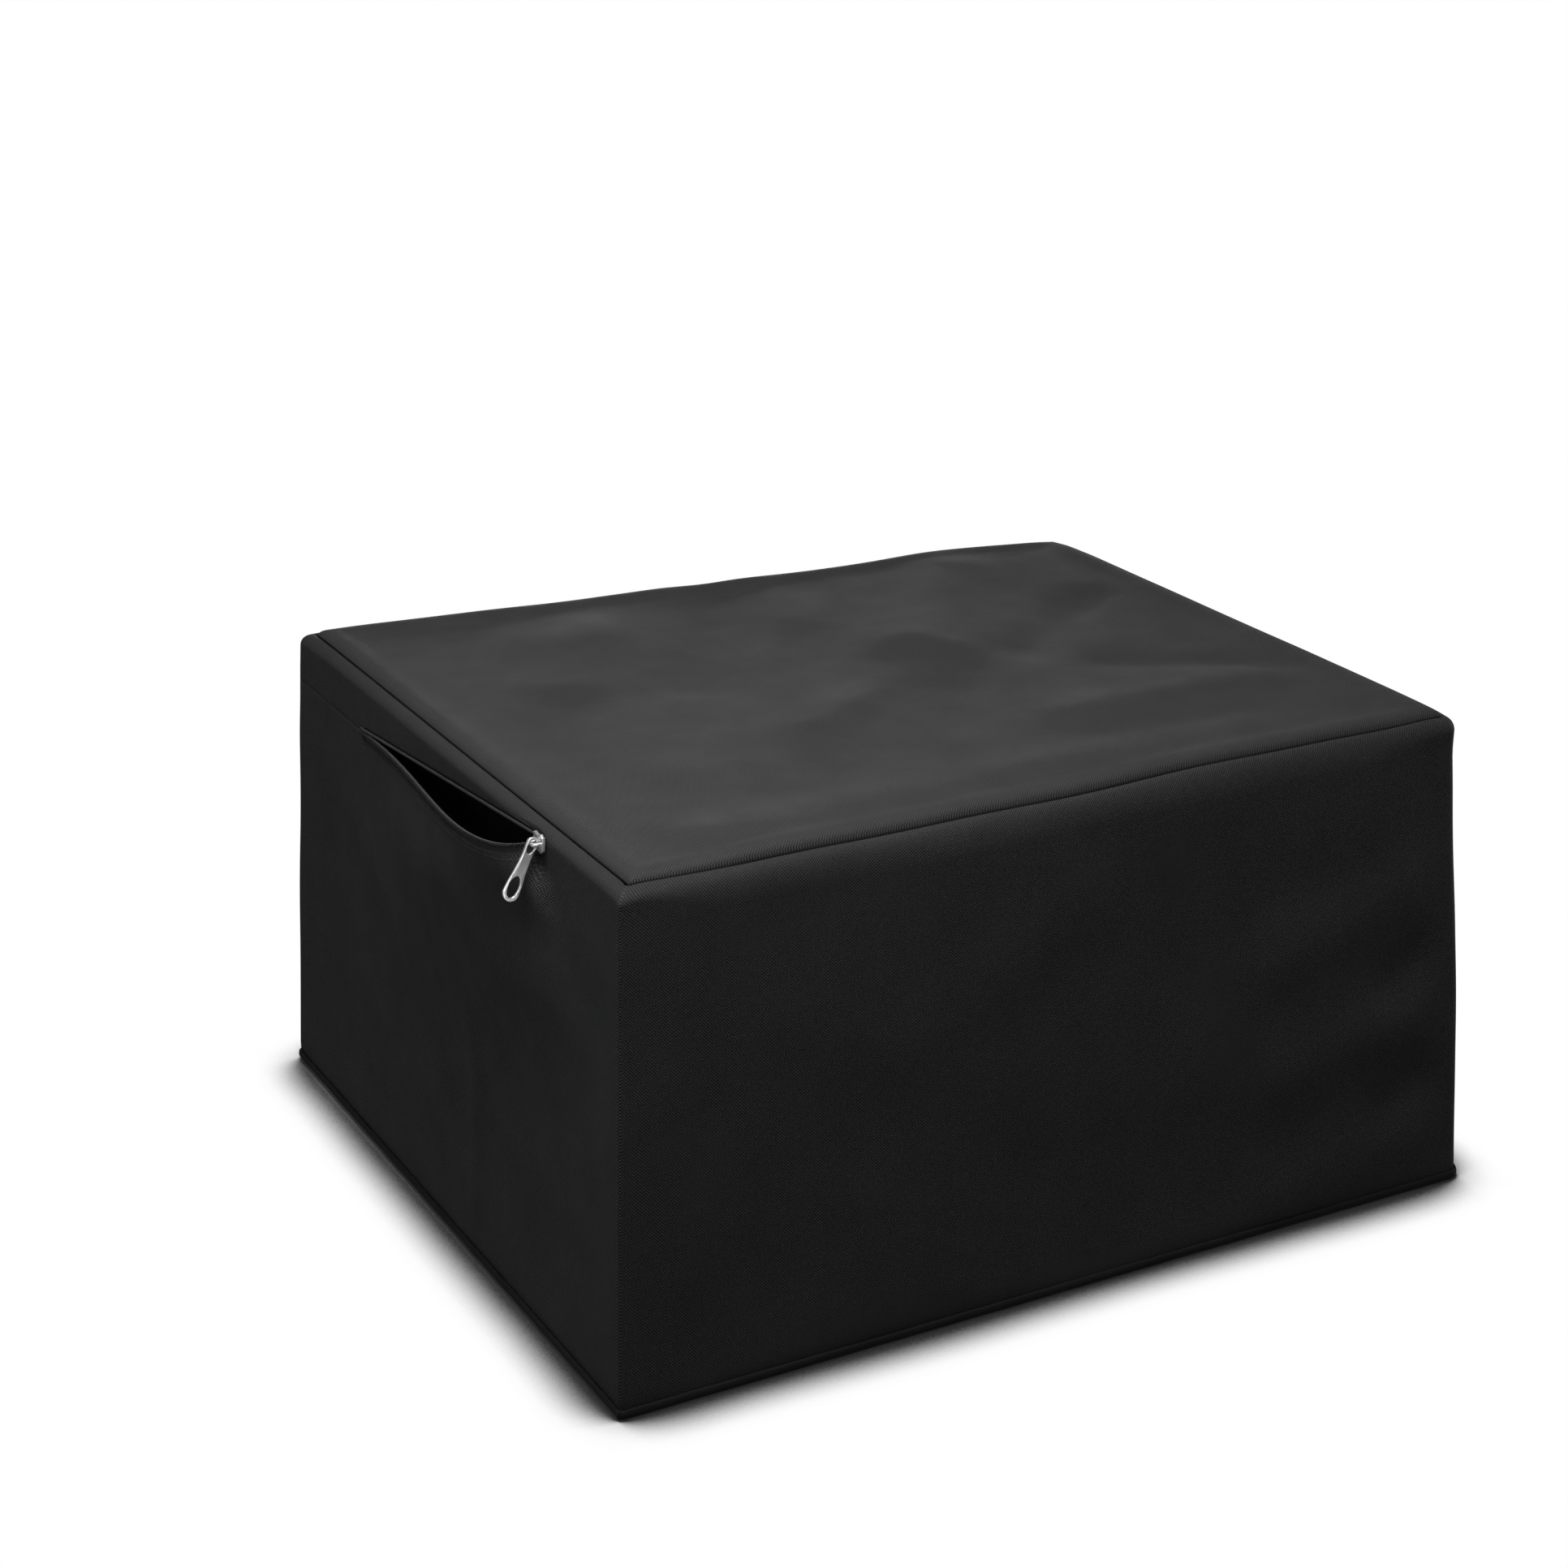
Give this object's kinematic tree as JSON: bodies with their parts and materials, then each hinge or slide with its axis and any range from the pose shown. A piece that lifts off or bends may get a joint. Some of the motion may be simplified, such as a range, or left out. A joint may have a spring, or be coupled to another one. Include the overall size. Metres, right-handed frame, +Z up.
{
  "type": "printer dust cover",
  "caption": "Boxy woven dust cover, open underneath, with a slanted zip pocket high on its left side and a metal slider and pull tab.",
  "frame": {"origin": "middle of the bottom face of the bounding box round the cover and its hanging pull tab, at floor level; the cover's own plan centre is 10.75 mm towards +X of it", "axes": "+X along the front towards the right, +Y from the front to the back, +Z up; the zip pocket is on the -X side"},
  "size_m": [0.5232, 0.4318, 0.25],
  "materials": {
    "woven": "coated black plain-weave synthetic cloth with a faint sheen",
    "binding": "matt black woven binding tape",
    "zip_tape": "matt black ribbed zip tape",
    "zip_coil": "black polyester coil",
    "lining": "thin matt black lining cloth",
    "zip_metal": "bright nickel plate"
  },
  "bodies": {
    "cover": {"top_panel": "woven", "front_panel": "woven", "right_panel": "woven", "back_panel": "woven", "left_panel": "woven", "hem_binding_front": "binding", "hem_binding_right": "binding", "hem_binding_back": "binding", "hem_binding_left": "binding", "top_seam_binding_front": "binding", "top_seam_binding_right": "binding", "top_seam_binding_back": "binding", "top_seam_binding_left": "binding", "corner_seam_tape_front_left": "binding", "corner_seam_tape_front_right": "binding", "corner_seam_tape_back_right": "binding", "corner_seam_tape_back_left": "binding", "zip_tape_lower": "zip_tape", "zip_tape_upper": "zip_tape", "zip_coil_lower": "zip_coil", "zip_coil_upper": "zip_coil", "zip_front_stop": "zip_metal", "zip_rear_stop_upper": "zip_metal", "zip_rear_stop_lower": "zip_metal", "pocket_bag": "lining", "pocket_bag_binding_front": "binding", "pocket_bag_binding_rear": "binding"},
    "slider": {"zip_slider": "zip_metal"},
    "pull_tab": {"zip_pull_tab": "zip_metal"}
  },
  "joints": [
    {"name": "zip_slide", "type": "slide", "parent": "cover", "child": "slider", "axis": [0, 0.996, -0.0889], "range_m": [0, 0.2295]},
    {"name": "pull_swing", "type": "hinge", "parent": "slider", "child": "pull_tab", "pos_m": [-0.24505, -0.12653, 0.24249], "axis": [0, 0.996, -0.0889], "range_deg": [-10, 145]}
  ]
}
